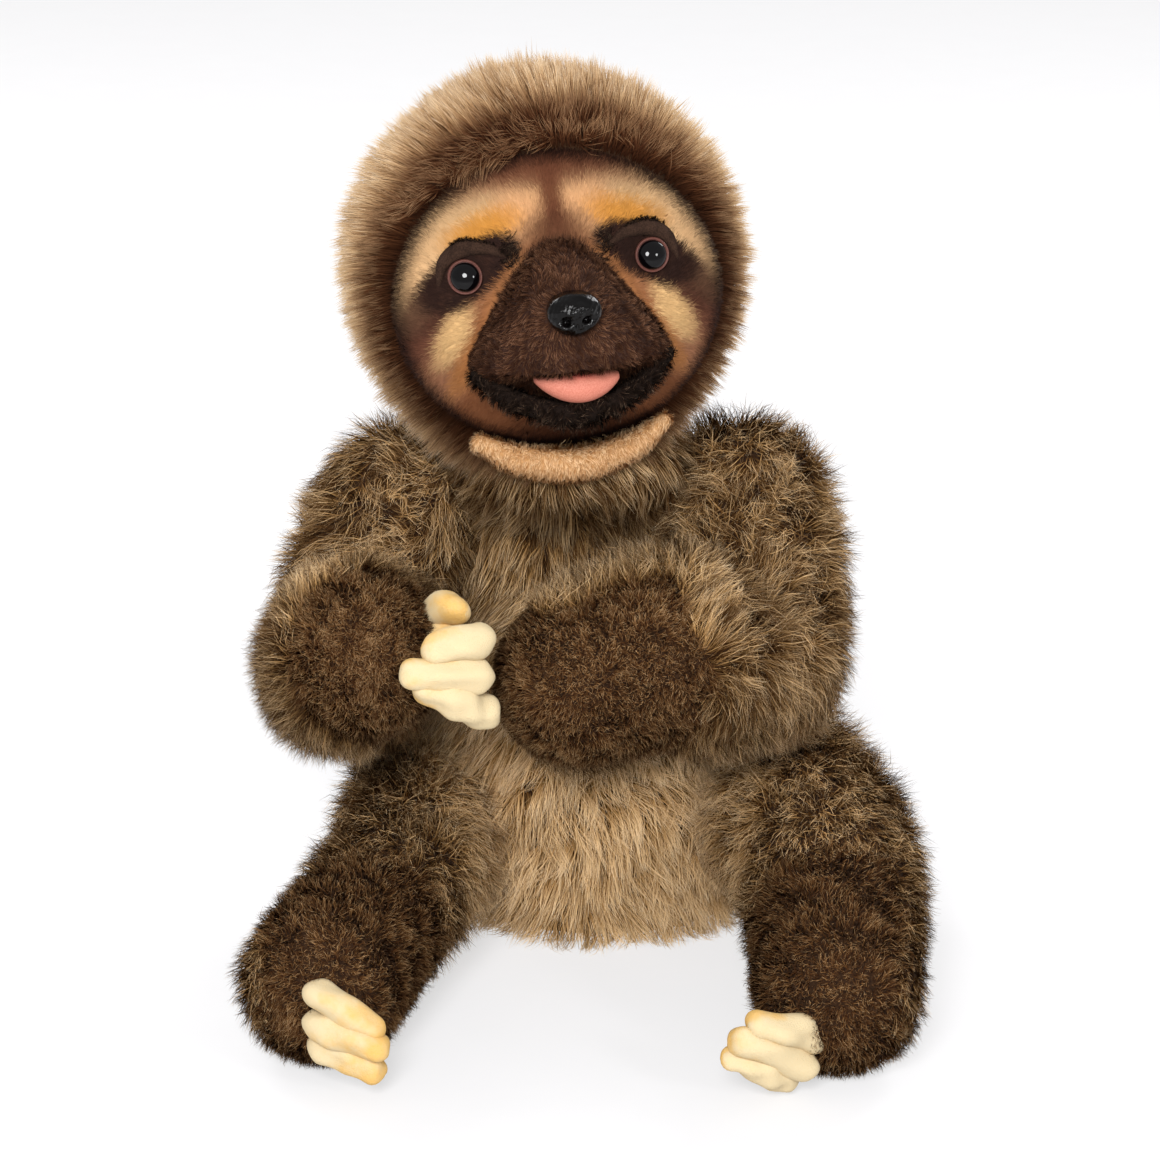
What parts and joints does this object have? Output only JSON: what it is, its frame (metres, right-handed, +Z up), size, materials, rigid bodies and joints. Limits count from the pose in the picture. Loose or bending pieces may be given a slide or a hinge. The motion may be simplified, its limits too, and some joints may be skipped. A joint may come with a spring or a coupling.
{
  "type": "plush sloth",
  "caption": "Seated plush sloth with a turning head, arms folded in front, forward legs, sewn claws, moulded nose and eyes, and a tongue in a smiling muzzle.",
  "frame": {"origin": "on the flat seat panel under the torso, near its middle", "axes": "+Z up, the face looks along -Y, and the sloth's own left is +X"},
  "size_m": [0.2142, 0.2105, 0.285],
  "materials": {
    "long_fur": "long olive-brown pile",
    "hood_fur": "long grey-brown pile with light tips",
    "short_fur": "short dark-brown pile",
    "face_velour": "short airbrushed pile, tan and brown",
    "cream_velour": "short cream pile, yellow-orange at the tips",
    "chin_velour": "short tan pile",
    "dark_suede": "short dark-brown suede pile",
    "tongue_felt": "pink felt",
    "eye_black": "polished black, brown rim",
    "nose_black": "moulded, semi-gloss black",
    "white_plastic": "moulded white",
    "fibreboard": "pressed fibreboard",
    "steel": "plain",
    "base_cloth": "flat dark cloth",
    "bag_cloth": "plain woven bag"
  },
  "bodies": {
    "torso": {"left_arm_wire": "steel", "left_leg_wire": "steel", "neck_disc_lower": "fibreboard", "neck_pin": "steel", "neck_washer_lower": "steel", "pellet_bag": "bag_cloth", "right_arm_wire": "steel", "right_leg_wire": "steel", "seat_panel": "base_cloth", "torso_body": "long_fur"},
    "head": {"head_hood": "hood_fur", "face_panel": "face_velour", "muzzle": "dark_suede", "lower_lip": "dark_suede", "tongue": "tongue_felt", "nose": "nose_black", "chin_strip": "chin_velour", "neck_disc_upper": "fibreboard", "neck_washer_upper": "steel", "left_eye": "eye_black", "left_eye_washer": "white_plastic", "left_eyelid": "dark_suede", "right_eye": "eye_black", "right_eye_washer": "white_plastic", "right_eyelid": "dark_suede"},
    "left_upper_arm": {"left_upper_arm": "long_fur"},
    "left_forearm": {"left_forearm": "long_fur", "left_palm": "short_fur", "left_hand_claw_1": "cream_velour", "left_hand_claw_2": "cream_velour", "left_hand_claw_3": "cream_velour"},
    "right_upper_arm": {"right_upper_arm": "long_fur"},
    "right_forearm": {"right_forearm": "long_fur", "right_palm": "short_fur", "right_hand_claw_1": "cream_velour", "right_hand_claw_2": "cream_velour", "right_hand_claw_3": "cream_velour"},
    "left_leg": {"left_leg": "long_fur", "left_sole": "short_fur", "left_foot_claw_1": "cream_velour", "left_foot_claw_2": "cream_velour", "left_foot_claw_3": "cream_velour"},
    "right_leg": {"right_leg": "long_fur", "right_sole": "short_fur", "right_foot_claw_1": "cream_velour", "right_foot_claw_2": "cream_velour", "right_foot_claw_3": "cream_velour"}
  },
  "joints": [
    {"name": "neck_turn", "type": "hinge", "parent": "torso", "child": "head", "pos_m": [-0.014, -0.015, 0.223], "axis": [-0.0971, 0.0756, 0.9924], "range_deg": [-30, 30]},
    {"name": "left_shoulder", "type": "hinge", "parent": "torso", "child": "left_upper_arm", "pos_m": [0.05103, -0.00889, 0.14], "axis": [-1, 0, 0], "range_deg": [0, 20], "deforming": ["left_arm_wire"]},
    {"name": "left_elbow", "type": "hinge", "parent": "left_upper_arm", "child": "left_forearm", "pos_m": [0.05439, -0.05313, 0.10584], "axis": [0, 0, 1], "range_deg": [0, 45]},
    {"name": "left_hip", "type": "hinge", "parent": "torso", "child": "left_leg", "pos_m": [0.05742, -0.01751, 0.04], "axis": [0, 0, 1], "range_deg": [0, 18], "deforming": ["left_leg_wire"]},
    {"name": "right_shoulder", "type": "hinge", "parent": "torso", "child": "right_upper_arm", "pos_m": [-0.06197, -0.00889, 0.14], "axis": [0, 1, 0], "range_deg": [0, 25], "deforming": ["right_arm_wire"]},
    {"name": "right_elbow", "type": "hinge", "parent": "right_upper_arm", "child": "right_forearm", "pos_m": [-0.08204, -0.03368, 0.09397], "axis": [-1, 0, 0], "range_deg": [0, 25]},
    {"name": "right_hip", "type": "hinge", "parent": "torso", "child": "right_leg", "pos_m": [-0.05172, -0.01271, 0.04], "axis": [0, 0, 1], "range_deg": [0, 18], "deforming": ["right_leg_wire"]}
  ]
}
